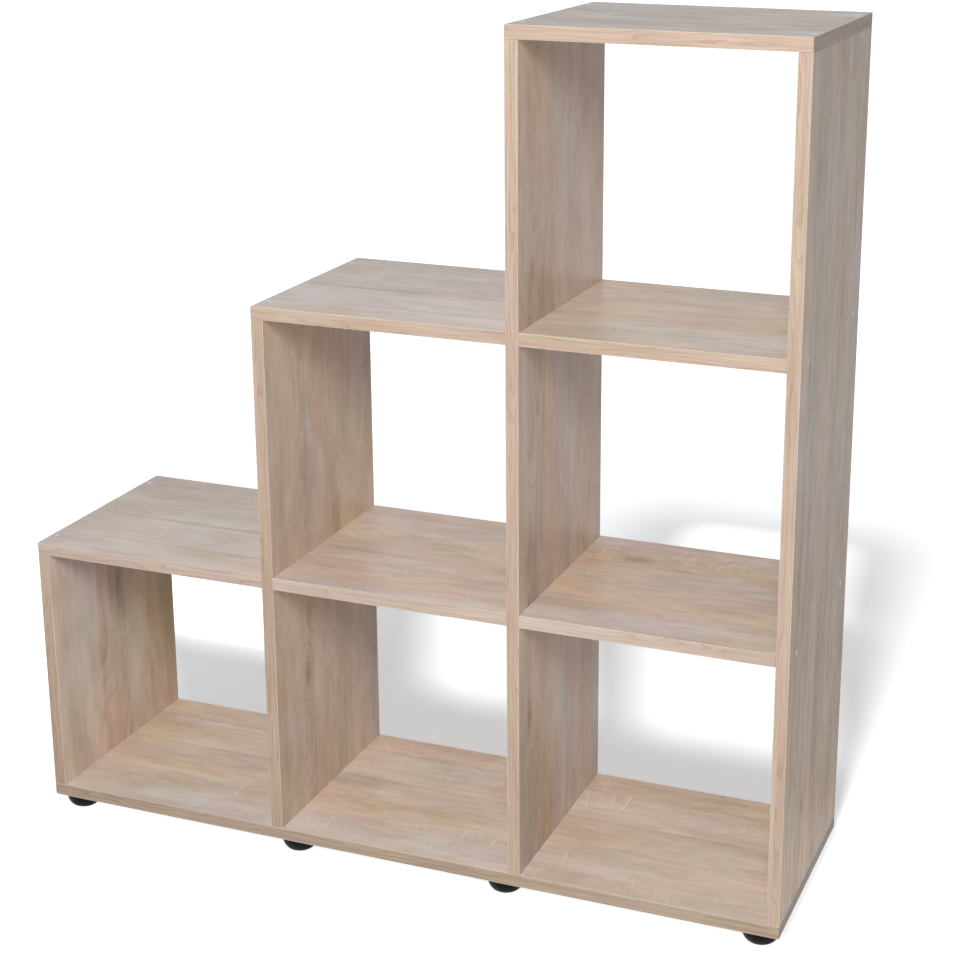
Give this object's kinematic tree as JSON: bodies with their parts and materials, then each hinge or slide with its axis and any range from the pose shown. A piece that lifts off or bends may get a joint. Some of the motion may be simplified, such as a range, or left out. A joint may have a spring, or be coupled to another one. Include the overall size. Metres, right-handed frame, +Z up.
{
  "type": "staircase bookshelf",
  "caption": "Open-backed stepped shelf of oak-look board, with square compartments in columns that rise to one side, on round black glides.",
  "frame": {"origin": "on the floor, at the middle of the outer box", "axes": "+Z up; +X along the width, from the lowest column to the tallest; the front faces -Y"},
  "size_m": [1, 0.288, 1.07],
  "materials": {
    "oak_board": "pale rough-sawn oak print on melamine-faced chipboard, satin",
    "white_cap": "white moulded plastic",
    "screw_steel": "zinc-plated steel",
    "beech_dowel": "plain turned beech",
    "black_glide": "black moulded plastic, slightly glossy"
  },
  "bodies": {
    "root": {"base_panel": "oak_board", "upright_1": "oak_board", "upright_2": "oak_board", "upright_3": "oak_board", "upright_4": "oak_board", "top_low": "oak_board", "top_middle": "oak_board", "top_tall": "oak_board", "shelf_middle_1": "oak_board", "shelf_tall_1": "oak_board", "shelf_tall_2": "oak_board", "screw_base_1_front": "screw_steel", "screw_base_1_back": "screw_steel", "screw_base_2_front": "screw_steel", "screw_base_2_back": "screw_steel", "screw_base_3_front": "screw_steel", "screw_base_3_back": "screw_steel", "screw_base_4_front": "screw_steel", "screw_base_4_back": "screw_steel", "screw_top_1_front": "screw_steel", "screw_top_1_back": "screw_steel", "screw_top_2_front": "screw_steel", "screw_top_2_back": "screw_steel", "screw_top_3_front": "screw_steel", "screw_top_3_back": "screw_steel", "screw_top_4_front": "screw_steel", "screw_top_4_back": "screw_steel", "screw_side_1_front": "screw_steel", "screw_side_1_back": "screw_steel", "screw_side_2_front": "screw_steel", "screw_side_2_back": "screw_steel", "cap_top_1_front": "white_cap", "cap_top_1_back": "white_cap", "cap_top_2_front": "white_cap", "cap_top_2_back": "white_cap", "cap_top_3_front": "white_cap", "cap_top_3_back": "white_cap", "cap_top_4_front": "white_cap", "cap_top_4_back": "white_cap", "cap_side_1_front": "white_cap", "cap_side_1_back": "white_cap", "cap_side_2_front": "white_cap", "cap_side_2_back": "white_cap", "dowel_2_1_front": "beech_dowel", "dowel_2_1_back": "beech_dowel", "dowel_3_1_front": "beech_dowel", "dowel_3_1_back": "beech_dowel", "dowel_3_2_front": "beech_dowel", "dowel_3_2_back": "beech_dowel", "glide_1_front": "black_glide", "glide_1_back": "black_glide", "glide_2_front": "black_glide", "glide_2_back": "black_glide", "glide_3_front": "black_glide", "glide_3_back": "black_glide", "glide_4_front": "black_glide", "glide_4_back": "black_glide"}
  },
  "joints": []
}
